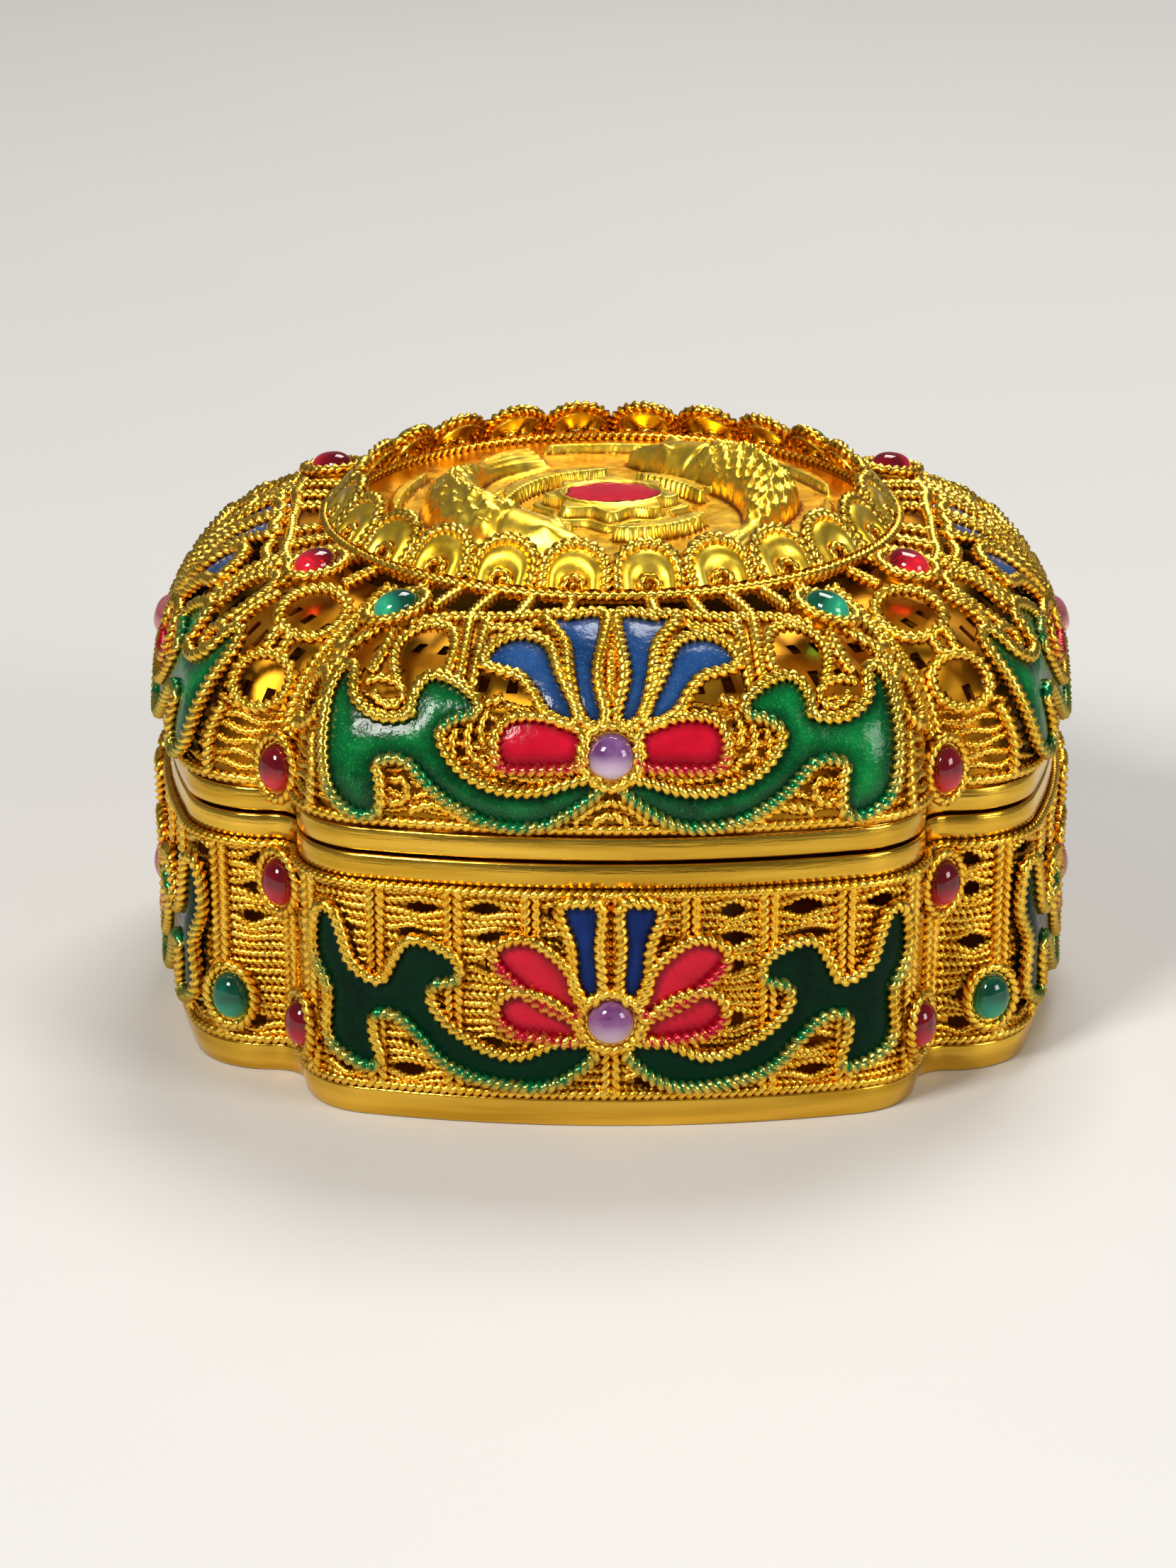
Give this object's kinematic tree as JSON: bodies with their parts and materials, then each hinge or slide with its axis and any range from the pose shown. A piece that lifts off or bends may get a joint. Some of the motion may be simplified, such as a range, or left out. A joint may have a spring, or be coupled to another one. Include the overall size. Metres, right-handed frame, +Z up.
{
  "type": "jewel box",
  "caption": "Small four-lobed jewel box of gilt openwork with a lift-off domed lid, enamelled leaves and petals, set cabochons and a cast carp medallion.",
  "frame": {"origin": "on the surface it rests on, under the middle of the base", "axes": "+Z up, the front lobe towards -Y"},
  "size_m": [0.065, 0.065, 0.0353],
  "materials": {
    "gilt_band": "polished",
    "gilt_openwork": "polished",
    "gilt_cast": "polished",
    "enamel_green": "gloss",
    "enamel_blue": "gloss",
    "enamel_red": "gloss",
    "ruby": "gloss",
    "emerald": "gloss",
    "amethyst": "gloss",
    "rose_stone": "gloss"
  },
  "bodies": {
    "root": {"base": "gilt_band", "box_rim": "gilt_band", "lid_rim": "gilt_band", "box_wall": "gilt_openwork", "lid_dome": "gilt_openwork", "medallion": "gilt_cast", "gallery": "gilt_cast", "medallion_enamel": "enamel_red", "lid_motif_front": "enamel_green", "lid_centre_front": "amethyst", "lid_valley_front": "ruby", "box_motif_front": "enamel_green", "box_centre_front": "amethyst", "box_valley_front": "ruby", "lid_shoulder_front_l": "emerald", "box_corner_front_l": "ruby", "lid_shoulder_front_r": "emerald", "box_corner_front_r": "ruby", "lid_motif_right": "enamel_green", "lid_centre_right": "rose_stone", "lid_valley_right": "ruby", "box_motif_right": "enamel_green", "box_centre_right": "rose_stone", "box_valley_right": "ruby", "lid_shoulder_right_l": "ruby", "box_corner_right_l": "emerald", "lid_shoulder_right_r": "ruby", "box_corner_right_r": "emerald", "lid_motif_back": "enamel_green", "lid_centre_back": "amethyst", "lid_valley_back": "ruby", "box_motif_back": "enamel_green", "box_centre_back": "amethyst", "box_valley_back": "ruby", "lid_shoulder_back_l": "emerald", "box_corner_back_l": "ruby", "lid_shoulder_back_r": "emerald", "box_corner_back_r": "ruby", "lid_motif_left": "enamel_green", "lid_centre_left": "rose_stone", "lid_valley_left": "ruby", "box_motif_left": "enamel_green", "box_centre_left": "rose_stone", "box_valley_left": "ruby", "lid_shoulder_left_l": "ruby", "box_corner_left_l": "emerald", "lid_shoulder_left_r": "ruby", "box_corner_left_r": "emerald"}
  },
  "joints": []
}
